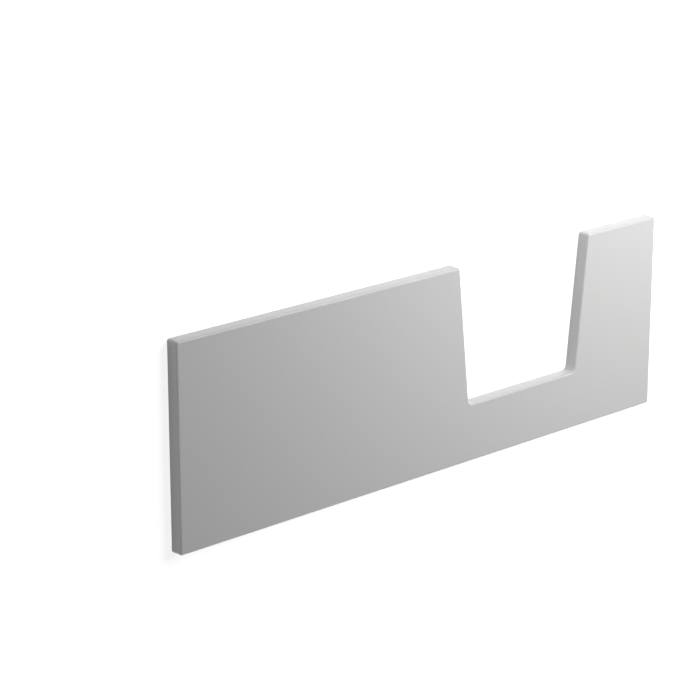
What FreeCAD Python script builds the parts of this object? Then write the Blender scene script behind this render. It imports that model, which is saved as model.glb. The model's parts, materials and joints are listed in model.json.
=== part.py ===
# Bath panel: one thermoformed acrylic sheet with its edges turned back all round and a tapered
# notch that opens at its upper edge.
#
# The panel lies on its trimmed back rim with the show face up. X runs along the length,
# Y runs from the floor edge to the upper edge, and Z is square to the face. The origin is in
# the middle of the outline, on the plane of the back rim. The outline's sizes hold at the back
# rim, and the edges lean inwards from there to the show face.
# All lengths are in millimetres.
import FreeCAD, Part
import os

import Sketcher

OUTPUT_FOLDER = "parts"
PANEL_NAME = "bath_panel"

# The driving dimensions: alias, value and what it measures.
DIMENSIONS = [
    ("panel_length", 1700.0, "outside length, from end to end"),
    ("panel_height", 550.0, "outside height, from the floor edge to the upper edge"),
    ("return_depth", 35.0, "outside depth of the turned-back edges"),
    ("draft_angle", 2.0, "lean of the turned-back edges in degrees, so that the panel leaves its mould"),
    ("wall", 4.0, "thickness of the formed sheet"),
    ("edge_inside_radius", 1.0, "inside radius where the face turns into its edges"),
    ("corner_inside_radius", 3.0, "inside radius of the outer corners, seen square to the face"),
    ("notch_centre", 516.0, "middle of the notch, from the right-hand end"),
    ("notch_mouth_width", 486.0, "width of the notch at the upper edge"),
    ("notch_sill_width", 406.0, "width of the notch at its sill, between sharp corners"),
    ("sill_height", 163.0, "height of the notch's sill above the floor edge"),
    ("sill_corner_radius", 14.0, "radius of the two corners at the ends of the sill"),
    ("shoulder_inside_radius", 4.0, "inside radius of the corners beside the notch's mouth"),
]

# The ends of a line in a sketch, and the sketch's own origin.
START, END = 1, 2
SKETCH_ORIGIN = (-1, 1)

# Two places nearer to each other than this are the same place.
SAME_PLACE = 0.001

CUBIC_MM_IN_A_LITRE = 1e6


def make_sheet(doc):
    """The spreadsheet with the driving dimensions, one row each."""
    sheet = doc.addObject("Spreadsheet::Sheet", "dimensions")
    for row, (alias, value, meaning) in enumerate(DIMENSIONS, start=1):
        sheet.set(f"A{row}", meaning)
        sheet.set(f"B{row}", str(value))
        sheet.setAlias(f"B{row}", alias)
    doc.recompute()
    return sheet


def rim_plane(body):
    """The body's own XY plane, which holds the back rim."""
    return next(plane for plane in body.Origin.OriginFeatures if plane.Role == "XY_Plane")


def closed_sketch(body, name, corners):
    """A ring of lines on the plane of the back rim, measured from the panel's lower left corner."""
    sketch = body.newObject("Sketcher::SketchObject", name)
    sketch.AttachmentSupport = [(rim_plane(body), "")]
    sketch.MapMode = "FlatFace"
    sketch.setExpression("AttachmentOffset.Base.x", "-dimensions.panel_length / 2")
    sketch.setExpression("AttachmentOffset.Base.y", "-dimensions.panel_height / 2")
    points = [FreeCAD.Vector(x, y, 0) for x, y in corners]
    ends = points[1:] + points[:1]
    lines = [sketch.addGeometry(Part.LineSegment(*pair), False) for pair in zip(points, ends)]
    for line, following in zip(lines, lines[1:] + lines[:1]):
        sketch.addConstraint(Sketcher.Constraint("Coincident", line, END, following, START))
    return sketch, lines


def dimension(sketch, label, kind, first, second, formula):
    """A named dimension between two points of a sketch, driven by a formula on the sheet."""
    size = sketch.evalExpression(formula)
    index = sketch.addConstraint(Sketcher.Constraint(kind, *first, *second, size))
    sketch.renameConstraint(index, label)
    sketch.setExpression(f"Constraints.{label}", formula)


def outline_sketch(body):
    """The panel's outside rectangle."""
    rough_corners = [(0, 0), (2, 0), (2, 1), (0, 1)]
    sketch, (bottom, right, top, left) = closed_sketch(body, "outline", rough_corners)
    for line in (bottom, top):
        sketch.addConstraint(Sketcher.Constraint("Horizontal", line))
    for line in (right, left):
        sketch.addConstraint(Sketcher.Constraint("Vertical", line))
    sketch.addConstraint(Sketcher.Constraint("Coincident", bottom, START, *SKETCH_ORIGIN))
    dimension(sketch, "length", "DistanceX", (bottom, START), (bottom, END), "dimensions.panel_length")
    dimension(sketch, "height", "DistanceY", (right, START), (right, END), "dimensions.panel_height")
    return sketch


def notch_sketch(body):
    """The notch: a trapezium that stands on the sill and opens at the upper edge."""
    rough_corners = [(1, 1), (2, 1), (3, 2), (0, 2)]
    sketch, (sill, _, mouth, _) = closed_sketch(body, "notch_outline", rough_corners)
    for line in (sill, mouth):
        sketch.addConstraint(Sketcher.Constraint("Horizontal", line))
    sill_left, sill_right = (sill, START), (sill, END)
    mouth_left, mouth_right = (mouth, END), (mouth, START)
    middle = "dimensions.panel_length - dimensions.notch_centre"
    sill_place = f"{middle} - dimensions.notch_sill_width / 2"
    mouth_place = f"{middle} - dimensions.notch_mouth_width / 2"
    for label, kind, first, second, formula in (
        ("sill_height", "DistanceY", SKETCH_ORIGIN, sill_left, "dimensions.sill_height"),
        ("mouth_height", "DistanceY", SKETCH_ORIGIN, mouth_left, "dimensions.panel_height"),
        ("sill_place", "DistanceX", SKETCH_ORIGIN, sill_left, sill_place),
        ("mouth_place", "DistanceX", SKETCH_ORIGIN, mouth_left, mouth_place),
        ("sill_width", "DistanceX", sill_left, sill_right, "dimensions.notch_sill_width"),
        ("mouth_width", "DistanceX", mouth_left, mouth_right, "dimensions.notch_mouth_width"),
    ):
        dimension(sketch, label, kind, first, second, formula)
    return sketch


def side_faces(feature):
    """Names of the faces that run from the back to the show face."""
    faces = enumerate(feature.Shape.Faces, start=1)
    return [f"Face{number}" for number, face in faces if face.BoundBox.ZLength > SAME_PLACE]


def side_edges(feature, is_wanted):
    """Names of the edges that run from the back to the show face and whose foot (x, y) is wanted."""
    names = []
    for number, edge in enumerate(feature.Shape.Edges, start=1):
        foot, head = sorted((vertex.Point for vertex in edge.Vertexes), key=lambda point: point.z)
        if head.z - foot.z > SAME_PLACE and is_wanted(foot.x, foot.y):
            names.append(f"Edge{number}")
    return names


def flat_face(feature, height):
    """Name of the largest level face at a height along Z."""
    level = {
        f"Face{number}": face.Area
        for number, face in enumerate(feature.Shape.Faces, start=1)
        if abs(face.BoundBox.ZMin - height) < SAME_PLACE and abs(face.BoundBox.ZMax - height) < SAME_PLACE
    }
    return max(level, key=level.get)


def add_fillet(body, name, base, elements, radius):
    """Rounds edges, or all edges of a face, of the feature before it."""
    fillet = body.newObject("PartDesign::Fillet", name)
    fillet.Base = (base, elements)
    fillet.setExpression("Radius", radius)
    body.Document.recompute()
    return fillet


def make_panel(doc, sheet):
    """The formed panel: a notched block, rounded and drafted, then hollowed out from behind."""
    body = doc.addObject("PartDesign::Body", PANEL_NAME)
    body.Label = PANEL_NAME

    block = body.newObject("PartDesign::Pad", "block")
    block.Profile = outline_sketch(body)
    block.setExpression("Length", "dimensions.return_depth")
    doc.recompute()

    notch = body.newObject("PartDesign::Pocket", "notch")
    notch.Profile = notch_sketch(body)
    notch.Type = "ThroughAll"
    notch.Reversed = True
    doc.recompute()

    half_length = sheet.panel_length / 2
    half_height = sheet.panel_height / 2

    def is_end(x, y):
        return abs(abs(x) - half_length) < SAME_PLACE

    def is_mouth(x, y):
        return not is_end(x, y) and abs(y - half_height) < SAME_PLACE

    def is_sill(x, y):
        return not is_end(x, y) and abs(y) < half_height - SAME_PLACE

    rounded = notch
    for name, is_wanted, radius in (
        ("outer_corners", is_end, "dimensions.corner_inside_radius + dimensions.wall"),
        ("notch_shoulders", is_mouth, "dimensions.shoulder_inside_radius + dimensions.wall"),
        ("sill_corners", is_sill, "dimensions.sill_corner_radius"),
    ):
        rounded = add_fillet(body, name, rounded, side_edges(rounded, is_wanted), radius)

    draft = body.newObject("PartDesign::Draft", "mould_draft")
    draft.Base = (rounded, side_faces(rounded))
    draft.NeutralPlane = (rim_plane(body), [""])
    draft.setExpression("Angle", "dimensions.draft_angle")
    doc.recompute()

    show_face = flat_face(draft, sheet.return_depth)
    softened = add_fillet(
        body, "face_edges", draft, [show_face], "dimensions.edge_inside_radius + dimensions.wall"
    )

    shell = body.newObject("PartDesign::Thickness", "formed_sheet")
    shell.Base = (softened, [flat_face(softened, 0)])
    shell.setExpression("Value", "dimensions.wall")
    shell.Reversed = True
    doc.recompute()

    for before, after in ((block, notch), (rounded, draft), (draft, softened), (softened, shell)):
        if after.Shape.Volume >= before.Shape.Volume:
            raise RuntimeError(f"{after.Name} took no material away from {before.Name}")
    return body


def check(doc, bodies):
    """Stops the build if any object of the document failed or a piece isn't one sound solid."""
    for thing in doc.Objects:
        if {"Invalid", "Error"} & set(thing.State):
            raise RuntimeError(f"{thing.Name} failed: {thing.State}")
    for body in bodies:
        shape = body.Shape
        if shape.isNull() or not shape.isValid() or len(shape.Solids) != 1:
            raise RuntimeError(f"{body.Label} isn't one sound solid")


def main():
    """Models the panel in a new document and writes its solid."""
    doc = FreeCAD.newDocument(PANEL_NAME)
    sheet = make_sheet(doc)
    panel = make_panel(doc, sheet)
    check(doc, [panel])
    os.makedirs(OUTPUT_FOLDER, exist_ok=True)
    panel.Shape.exportStep(os.path.join(OUTPUT_FOLDER, f"{panel.Label}.step"))
    print(f"{panel.Label}: {panel.Shape.Volume / CUBIC_MM_IN_A_LITRE:.3f} litres of sheet")


main()
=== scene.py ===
"""Finish, light and camera for a bath panel: one formed sheet of white acrylic, lying face up.

All lengths are in metres, in the panel's own frame: X along its length, Y from its floor edge to its
upper edge, Z out of its show face.
"""

import json
import logging
import math
from collections.abc import Mapping
from dataclasses import dataclass
from enum import Enum
from typing import Any, Union

import bpy
from mathutils import Matrix, Vector


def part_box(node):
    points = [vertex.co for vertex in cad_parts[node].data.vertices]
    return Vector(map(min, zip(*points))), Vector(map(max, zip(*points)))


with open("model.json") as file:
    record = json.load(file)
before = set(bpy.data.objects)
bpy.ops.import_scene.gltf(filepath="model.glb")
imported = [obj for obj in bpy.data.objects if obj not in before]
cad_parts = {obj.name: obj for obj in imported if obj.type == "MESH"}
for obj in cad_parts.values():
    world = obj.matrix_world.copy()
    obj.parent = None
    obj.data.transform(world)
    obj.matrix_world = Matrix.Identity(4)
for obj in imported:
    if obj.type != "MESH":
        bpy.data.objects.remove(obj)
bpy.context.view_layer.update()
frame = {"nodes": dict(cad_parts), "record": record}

LOG = logging.getLogger("bath_panel")

Triple = tuple[float, float, float]
Number = Union["Signal", float]
SocketKey = Union[str, int]

BLACK = (0.0, 0.0, 0.0, 1.0)
WHITE = (1.0, 1.0, 1.0, 1.0)

# Places of the Mix node's colour sockets, whose names aren't unique.
MIX_COLOUR_A = 6
MIX_COLOUR_B = 7
MIX_COLOUR_RESULT = 2


class Op(Enum):
    """What a Math node works out."""

    ADD = "ADD"
    SUBTRACT = "SUBTRACT"
    MULTIPLY = "MULTIPLY"
    LESS = "LESS_THAN"
    GREATER = "GREATER_THAN"
    LEAST = "MINIMUM"
    MOST = "MAXIMUM"
    ROUNDED_MOST = "SMOOTH_MAX"


class Side(Enum):
    """The three kinds of surface that the formed sheet has."""

    SHOW = "show"
    BACK = "back"
    TRIM = "trim"


class Signal:
    """A number that varies over a surface: an output socket with Python's operators.

    Each operator adds a Math node to the node tree that the socket is in.
    """

    def __init__(self, graph: "NodeGraph", socket: bpy.types.NodeSocket) -> None:
        """Wraps an output socket of one of the graph's nodes."""
        self.graph = graph
        self.socket = socket

    def __add__(self, other: Number) -> "Signal":
        """This number plus another."""
        return self.graph.math(Op.ADD, self, other)

    def __radd__(self, other: float) -> "Signal":
        """Another number plus this one."""
        return self.graph.math(Op.ADD, other, self)

    def __sub__(self, other: Number) -> "Signal":
        """This number less another."""
        return self.graph.math(Op.SUBTRACT, self, other)

    def __rsub__(self, other: float) -> "Signal":
        """Another number less this one."""
        return self.graph.math(Op.SUBTRACT, other, self)

    def __mul__(self, other: Number) -> "Signal":
        """This number times another."""
        return self.graph.math(Op.MULTIPLY, self, other)

    def __rmul__(self, other: float) -> "Signal":
        """Another number times this one."""
        return self.graph.math(Op.MULTIPLY, other, self)

    def __lt__(self, other: Number) -> "Signal":
        """1 where this number is the smaller one, and 0 elsewhere."""
        return self.graph.math(Op.LESS, self, other)

    def __gt__(self, other: Number) -> "Signal":
        """1 where this number is the larger one, and 0 elsewhere."""
        return self.graph.math(Op.GREATER, self, other)

    def least(self, other: Number) -> "Signal":
        """The smaller of two numbers."""
        return self.graph.math(Op.LEAST, self, other)

    def most(self, other: Number) -> "Signal":
        """The larger of two numbers."""
        return self.graph.math(Op.MOST, self, other)

    def rounded_most(self, other: Number, reach: float) -> "Signal":
        """The larger of two numbers, with the change from one to the other rounded over a reach."""
        return self.graph.math(Op.ROUNDED_MOST, self, other, reach)


class NodeGraph:
    """Adds nodes and links to one node tree, which it empties first."""

    def __init__(self, tree: bpy.types.NodeTree) -> None:
        """Takes over a material's or a world's node tree."""
        self.tree = tree
        self.tree.nodes.clear()

    def node(
        self,
        kind: str,
        settings: Mapping[str, Any] | None = None,
        sockets: Mapping[SocketKey, Any] | None = None,
    ) -> bpy.types.Node:
        """Adds one node.

        Args:
            kind: The node's type.
            settings: Its own properties, which are set first because some of them choose its sockets.
            sockets: A value, a signal or an output socket for each input, by name or place.

        Returns:
            The new node.
        """
        made = self.tree.nodes.new(kind)
        for name, value in (settings or {}).items():
            setattr(made, name, value)
        for key, value in (sockets or {}).items():
            source = value.socket if isinstance(value, Signal) else value
            if isinstance(source, bpy.types.NodeSocket):
                self.tree.links.new(source, made.inputs[key])
            else:
                made.inputs[key].default_value = source
        return made

    def math(self, op: Op, *numbers: Number) -> Signal:
        """Adds a Math node.

        Args:
            op: What it works out.
            numbers: Its inputs, in order.

        Returns:
            The result.
        """
        made = self.node("ShaderNodeMath", {"operation": op.value}, dict(enumerate(numbers)))
        return Signal(self, made.outputs["Value"])

    def mix_colours(self, share: Number, first: Any, second: Any) -> bpy.types.NodeSocket:
        """Mixes two colours.

        Args:
            share: How much of the second colour shows, from 0 to 1.
            first: A colour or a colour socket.
            second: A colour or a colour socket.

        Returns:
            The mixed colour's socket.
        """
        sockets = {"Factor": share, MIX_COLOUR_A: first, MIX_COLOUR_B: second}
        made = self.node("ShaderNodeMix", {"data_type": "RGBA"}, sockets)
        return made.outputs[MIX_COLOUR_RESULT]

    def mix_shaders(
        self, share: Number, first: bpy.types.NodeSocket, second: bpy.types.NodeSocket
    ) -> bpy.types.NodeSocket:
        """Mixes two shaders.

        Args:
            share: How much of the second shader shows, from 0 to 1.
            first: A shader's socket.
            second: A shader's socket.

        Returns:
            The mixed shader's socket.
        """
        made = self.node("ShaderNodeMixShader", sockets={"Fac": share, 1: first, 2: second})
        return made.outputs["Shader"]

    def swell(self, place: bpy.types.NodeSocket, size: float, detail: float = 0.0) -> Signal:
        """Adds a noise that swells evenly about zero, between about -1 and 1.

        Args:
            place: The coordinates that it is laid out in.
            size: The distance from one swelling to the next.
            detail: How many finer layers lie on it.

        Returns:
            The noise's height.
        """
        sockets = {"Vector": place, "Scale": 1 / size, "Detail": detail}
        made = self.node("ShaderNodeTexNoise", sockets=sockets)
        return 2 * Signal(self, made.outputs["Fac"]) - 1

    def seen_directly(self) -> Signal:
        """Tells what is looked at, also in a gloss or through glass, from what only lights other things.

        Returns:
            1 where a thing is looked at, and 0 where it only lights others.
        """
        path = self.node("ShaderNodeLightPath")
        kinds = ("Is Camera Ray", "Is Glossy Ray", "Is Transmission Ray")
        camera, glossy, through = (Signal(self, path.outputs[kind]) for kind in kinds)
        return camera.most(glossy).most(through)


@dataclass(frozen=True)
class SurfaceFinish:
    """How one side of the sheet looks close up.

    Attributes:
        whiteness: Share of the sheet's own colour.
        roughness: Middle of the gloss, from 0 for a mirror to 1 for chalk.
        roughness_spread: How far the gloss wanders to either side.
        grain_size: Distance from one grain of the surface to the next.
        grain_height: How far a grain stands out.
    """

    whiteness: float
    roughness: float
    roughness_spread: float
    grain_size: float
    grain_height: float


SIDE_FINISHES: Mapping[Side, SurfaceFinish] = {
    Side.SHOW: SurfaceFinish(
        whiteness=1.0, roughness=0.13, roughness_spread=0.03, grain_size=0.008, grain_height=0.000012
    ),
    Side.BACK: SurfaceFinish(
        whiteness=0.96, roughness=0.55, roughness_spread=0.06, grain_size=0.003, grain_height=0.00006
    ),
    Side.TRIM: SurfaceFinish(
        whiteness=0.93, roughness=0.7, roughness_spread=0.05, grain_size=0.0008, grain_height=0.00004
    ),
}


@dataclass(frozen=True)
class SheetOutline:
    """Tells the sheet's show side, back and trimmed rim apart, by the planes of its outer faces.

    Attributes:
        mounts: The record's flat faces by name.
        face_level: Height of the show face over the rim.
        wall: Thickness of the sheet.
        sill_corner_reach: How far the rounding of the sill's corners reaches along its sides.
        back_inset: Share of the wall by which the back lies inside the outer faces, at the least.
        back_drop: Share of the wall by which the back lies below the show face, at the least.
        trim_rise: Share of the wall by which the trimmed rim lies above its own plane, at the most.
        trim_facing: Upward part of the trimmed rim's normal, at the most.
    """

    mounts: Mapping[str, Mapping[str, Any]]
    face_level: float
    wall: float
    sill_corner_reach: float
    back_inset: float = 0.75
    back_drop: float = 0.9
    trim_rise: float = 0.1
    trim_facing: float = -0.5

    def depth(self, graph: NodeGraph, place: bpy.types.NodeSocket, mount: str) -> Signal:
        """How far a point lies behind the plane of one of the outer faces.

        Args:
            graph: The material's nodes.
            place: The point.
            mount: The outer face's name in the record.

        Returns:
            The depth, which is negative in front of the face.
        """
        outwards = Vector(self.mounts[mount]["axis"])
        level = outwards.dot(Vector(self.mounts[mount]["pos_m"]))
        along = graph.node(
            "ShaderNodeVectorMath",
            {"operation": "DOT_PRODUCT"},
            {0: place, 1: tuple(outwards)},
        )
        return level - Signal(graph, along.outputs["Value"])

    def masks(
        self, graph: NodeGraph, place: bpy.types.NodeSocket, normal: bpy.types.NodeSocket
    ) -> tuple[Signal, Signal]:
        """Finds the sheet's back and its trimmed rim.

        Args:
            graph: The material's nodes.
            place: The point on the sheet.
            normal: The sheet's own normal there.

        Returns:
            Two masks, 1 on the back and 1 on the trimmed rim.
        """
        # The upper edge's two stretches lie in one plane, so the left-hand one stands for both.
        inset = self.depth(graph, place, "floor_edge")
        for mount in ("rim_edge_left", "end_left", "end_right"):
            inset = inset.least(self.depth(graph, place, mount))
        beside_notch = self.depth(graph, place, "notch_sill")
        for mount in ("notch_side_left", "notch_side_right"):
            behind_side = self.depth(graph, place, mount)
            beside_notch = beside_notch.rounded_most(behind_side, self.sill_corner_reach)
        inset = inset.least(beside_notch)

        height = Signal(graph, graph.node("ShaderNodeSeparateXYZ", sockets={0: place}).outputs["Z"])
        facing = Signal(graph, graph.node("ShaderNodeSeparateXYZ", sockets={0: normal}).outputs["Z"])
        below_face = height < self.face_level - self.back_drop * self.wall
        on_back = (inset > self.back_inset * self.wall) * below_face
        on_trim = (height < self.trim_rise * self.wall) * (facing < self.trim_facing)
        return on_back, on_trim


@dataclass(frozen=True)
class FormedAcrylic:
    """White acrylic sheet, glossy on its show side and dull where it touched the mould.

    Attributes:
        colour: The sheet's own colour.
        sides: The finish of each side.
        refraction: Acrylic's index of refraction.
        wave_size: Distance between the slow waves that a sheet keeps from being formed hot.
        wave_height: Height of those waves.
        cloud_size: Distance between paler and greyer places.
        cloud_depth: Share of the colour that the greyest places lose.
        cloud_detail: How many finer layers the clouds have.
        wander_size: Distance between glossier and duller places.
        wander_detail: How many finer layers the changes of gloss have.
        grain_detail: How many finer layers each side's grain has.
    """

    colour: Triple
    sides: Mapping[Side, SurfaceFinish]
    refraction: float = 1.49
    wave_size: float = 0.24
    wave_height: float = 0.0005
    cloud_size: float = 0.35
    cloud_depth: float = 0.012
    cloud_detail: float = 2.0
    wander_size: float = 0.117
    wander_detail: float = 3.0
    grain_detail: float = 1.0

    def material(self, name: str, outline: SheetOutline) -> bpy.types.Material:
        """Makes the material.

        Args:
            name: The material's name.
            outline: Tells the sheet's sides apart.

        Returns:
            The material, ready for the panel's slot.
        """
        made = bpy.data.materials.new(name)
        made.use_nodes = True
        graph = NodeGraph(made.node_tree)
        coordinates = graph.node("ShaderNodeTexCoord")
        place = coordinates.outputs["Object"]
        on_back, on_trim = outline.masks(graph, place, coordinates.outputs["Normal"])

        def by_side(values: Mapping[Side, Number]) -> Signal:
            """Picks each side's own value."""
            facing = values[Side.SHOW] + (values[Side.BACK] - values[Side.SHOW]) * on_back
            return facing + (values[Side.TRIM] - facing) * on_trim

        clouds = graph.swell(place, self.cloud_size, self.cloud_detail)
        wander = graph.swell(place, self.wander_size, self.wander_detail)
        waves = graph.swell(place, self.wave_size)
        grain = {
            side: graph.swell(place, look.grain_size, self.grain_detail)
            for side, look in self.sides.items()
        }

        whiteness = by_side({side: look.whiteness for side, look in self.sides.items()})
        whiteness = whiteness * (1 - self.cloud_depth / 2 * (1 + clouds))
        roughness = by_side({
            side: look.roughness + look.roughness_spread * wander
            for side, look in self.sides.items()
        })
        height = by_side({side: look.grain_height * grain[side] for side, look in self.sides.items()})
        height = height + self.wave_height * waves

        # A distance of 1 takes the height in metres.
        bump = graph.node("ShaderNodeBump", sockets={"Strength": 1.0, "Distance": 1.0, "Height": height})
        shader = graph.node("ShaderNodeBsdfPrincipled", sockets={
            "Base Color": graph.mix_colours(whiteness, BLACK, (*self.colour, 1.0)),
            "Roughness": roughness,
            "IOR": self.refraction,
            "Normal": bump.outputs["Normal"],
        })
        graph.node("ShaderNodeOutputMaterial", sockets={"Surface": shader.outputs["BSDF"]})
        return made


@dataclass(frozen=True)
class FrontPanel:
    """The formed panel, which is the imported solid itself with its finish.

    Attributes:
        node: Name of its solid.
        slot: The record's name for its material.
        wall: Thickness of the sheet.
        sill_corner_reach: How far the rounding of the sill's corners reaches along its sides.
    """

    node: str = "bath_panel"
    slot: str = "white_acrylic"
    wall: float = 0.004
    sill_corner_reach: float = 0.036

    def box(self) -> tuple[Vector, Vector]:
        """The panel's lowest and highest corners."""
        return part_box(self.node)

    def dress(self) -> bpy.types.Object:
        """Gives the panel its finish.

        Returns:
            The panel.
        """
        record = frame["record"]
        colour = next(row["base_color"] for row in record["materials"] if row["slot"] == self.slot)
        mounts = {mount["name"]: mount for mount in record["mounts"]}
        low, high = self.box()
        outline = SheetOutline(
            mounts=mounts,
            face_level=high.z - low.z,
            wall=self.wall,
            sill_corner_reach=self.sill_corner_reach,
        )
        acrylic = FormedAcrylic(colour=tuple(colour), sides=SIDE_FINISHES)
        finish = acrylic.material(self.slot, outline)
        panel = frame["nodes"][self.node]
        for slot in panel.material_slots:
            slot.material = finish
        LOG.info("panel %s, %.3f x %.3f x %.3f m", panel.name, *(high - low))
        return panel


@dataclass(frozen=True)
class StudioFloor:
    """A pale, dull floor that the camera sees as white, with the panel's shadow on it.

    Attributes:
        colour: Colour of the floor under the lamps.
        glow: What the camera sees on top of the lamps' light, round the panel.
        glow_reach: Distances from the panel's middle at which the glow starts to rise and is white.
        reach: Length of the floor's sides.
        gap: Room under the panel, so that no two faces lie in one plane.
    """

    colour: Triple = (0.8, 0.8, 0.8)
    glow: float = 0.75
    glow_reach: tuple[float, float] = (0.9, 2.6)
    reach: float = 60.0
    gap: float = 0.0001

    def material(self) -> bpy.types.Material:
        """Makes the floor's material.

        Returns:
            The material.
        """
        made = bpy.data.materials.new("pale_floor")
        made.use_nodes = True
        graph = NodeGraph(made.node_tree)
        place = graph.node("ShaderNodeTexCoord").outputs["Object"]
        away = graph.node("ShaderNodeVectorMath", {"operation": "LENGTH"}, {0: place})
        start, end = self.glow_reach
        rise = graph.node(
            "ShaderNodeMapRange",
            {"interpolation_type": "SMOOTHSTEP"},
            {"Value": away.outputs["Value"], "From Min": start, "From Max": end},
        )
        near = (self.glow, self.glow, self.glow, 1.0)
        glow = graph.mix_colours(rise.outputs["Result"], near, WHITE)
        diffuse = graph.node("ShaderNodeBsdfDiffuse", sockets={"Color": (*self.colour, 1.0)})
        emission = graph.node("ShaderNodeEmission", sockets={"Color": glow, "Strength": 1.0})
        lit = diffuse.outputs["BSDF"]
        both = graph.node("ShaderNodeAddShader", sockets={0: lit, 1: emission.outputs["Emission"]})
        seen = graph.mix_shaders(graph.seen_directly(), lit, both.outputs["Shader"])
        graph.node("ShaderNodeOutputMaterial", sockets={"Surface": seen})
        return made

    def lay(self, level: float) -> bpy.types.Object:
        """Lays the floor.

        Args:
            level: Height of what lies on it.

        Returns:
            The floor.
        """
        half = self.reach / 2
        corners = [(-half, -half, 0), (half, -half, 0), (half, half, 0), (-half, half, 0)]
        mesh = bpy.data.meshes.new("floor")
        mesh.from_pydata(corners, [], [range(len(corners))])
        mesh.materials.append(self.material())
        floor = bpy.data.objects.new("floor", mesh)
        floor.location.z = level - self.gap
        bpy.context.scene.collection.objects.link(floor)
        LOG.info("floor at %.4f m", floor.location.z)
        return floor


@dataclass(frozen=True)
class SoftLamp:
    """A flat softbox.

    Attributes:
        name: The lamp's name.
        place: Where it hangs.
        aim: The point that it faces.
        width: Its level side.
        height: Its other side.
        watts: Its power.
    """

    name: str
    place: Triple
    aim: Triple
    width: float
    height: float
    watts: float

    def hang(self) -> bpy.types.Object:
        """Hangs the lamp, out of the camera's sight.

        Returns:
            The lamp.
        """
        light = bpy.data.lights.new(self.name, "AREA")
        light.shape = "RECTANGLE"
        light.size = self.width
        light.size_y = self.height
        light.energy = self.watts
        lamp = bpy.data.objects.new(self.name, light)
        facing = Vector(self.aim) - Vector(self.place)
        lamp.location = self.place
        lamp.rotation_euler = facing.to_track_quat("-Z", "Y").to_euler()
        lamp.visible_camera = False
        bpy.context.scene.collection.objects.link(lamp)
        LOG.info("lamp %s, %.1f W", self.name, self.watts)
        return lamp


@dataclass(frozen=True)
class Studio:
    """The plain room round the panel: floor, softboxes and the light that comes from everywhere.

    Attributes:
        floor: What the panel lies on.
        lamps: The softboxes, a large one overhead past the panel's upper right-hand corner, and weak ones
            that face its upper edge, its floor edge and its left-hand end.
        ambient: Strength of the light from everywhere.
    """

    floor: StudioFloor = StudioFloor()
    lamps: tuple[SoftLamp, ...] = (
        SoftLamp(
            "key", place=(1.45, 1.39, 1.82), aim=(1.45, 1.39, 0.0), width=2.8, height=2.4, watts=68.2
        ),
        SoftLamp(
            "upper_strip", place=(-0.7, 2.2, 0.6), aim=(-0.5, 0.27, 0.0), width=2.0, height=0.9, watts=7.0
        ),
        SoftLamp(
            "floor_strip", place=(0.0, -2.3, 0.65), aim=(0.0, -0.2, 0.0), width=3.2, height=1.0, watts=10.0
        ),
        SoftLamp(
            "end_fill", place=(-2.7, -0.3, 0.8), aim=(0.0, 0.0, 0.0), width=1.6, height=0.8, watts=4.3
        ),
    )
    ambient: float = 0.02

    def build(self, level: float) -> None:
        """Lays the floor, hangs the lamps and makes the world.

        Args:
            level: Height of what lies on the floor.
        """
        self.floor.lay(level)
        for lamp in self.lamps:
            lamp.hang()
        self.make_world()

    def make_world(self) -> None:
        """Makes the world: plain grey light, and white where it is looked at."""
        world = bpy.data.worlds.new("studio")
        world.use_nodes = True
        graph = NodeGraph(world.node_tree)
        light, white = (
            graph.node("ShaderNodeBackground", sockets={"Color": WHITE, "Strength": strength})
            for strength in (self.ambient, 1.0)
        )
        seen = graph.mix_shaders(
            graph.seen_directly(), light.outputs["Background"], white.outputs["Background"]
        )
        graph.node("ShaderNodeOutputWorld", sockets={"Surface": seen})
        bpy.context.scene.world = world


@dataclass(frozen=True)
class PhotoCamera:
    """The photograph's viewpoint, told as if the panel stood upright on its floor edge.

    Attributes:
        turn: Degrees to the left of straight on.
        rise: Degrees above level.
        distance: From the lens to the point that it is aimed at.
        lens_mm: Focal length, on the usual 36 mm sensor.
        aim: Where the middle of the picture meets the face, from the panel's middle.
    """

    turn: float = 42.0
    rise: float = 18.1
    distance: float = 6.458
    lens_mm: float = 131.7
    aim: tuple[float, float] = (-0.296, 0.134)

    def place(self, face_level: float) -> bpy.types.Object:
        """Makes the scene's camera.

        Args:
            face_level: Height of the show face.

        Returns:
            The camera.
        """
        turn, rise = math.radians(self.turn), math.radians(self.rise)
        back = Vector((-math.sin(turn) * math.cos(rise), math.sin(rise), math.cos(turn) * math.cos(rise)))
        upright = Vector((0, 1, 0))
        right = upright.cross(back).normalized()
        up = back.cross(right)
        data = bpy.data.cameras.new("photo_camera")
        data.lens = self.lens_mm
        camera = bpy.data.objects.new("photo_camera", data)
        turned = Matrix((right, up, back)).transposed().to_4x4()
        stand = Vector((*self.aim, face_level)) + back * self.distance
        camera.matrix_world = Matrix.Translation(stand) @ turned
        bpy.context.scene.collection.objects.link(camera)
        bpy.context.scene.camera = camera
        LOG.info("camera %.2f m from the face, %.1f mm lens", self.distance, self.lens_mm)
        return camera


def main() -> None:
    """Dresses the panel, builds the studio round it and places the camera."""
    logging.basicConfig(level=logging.INFO, format="%(message)s")
    panel = FrontPanel()
    panel.dress()
    low, high = panel.box()
    Studio().build(low.z)
    PhotoCamera().place(high.z)
    bpy.context.scene.view_settings.view_transform = "Standard"


if __name__ == "__main__":
    main()
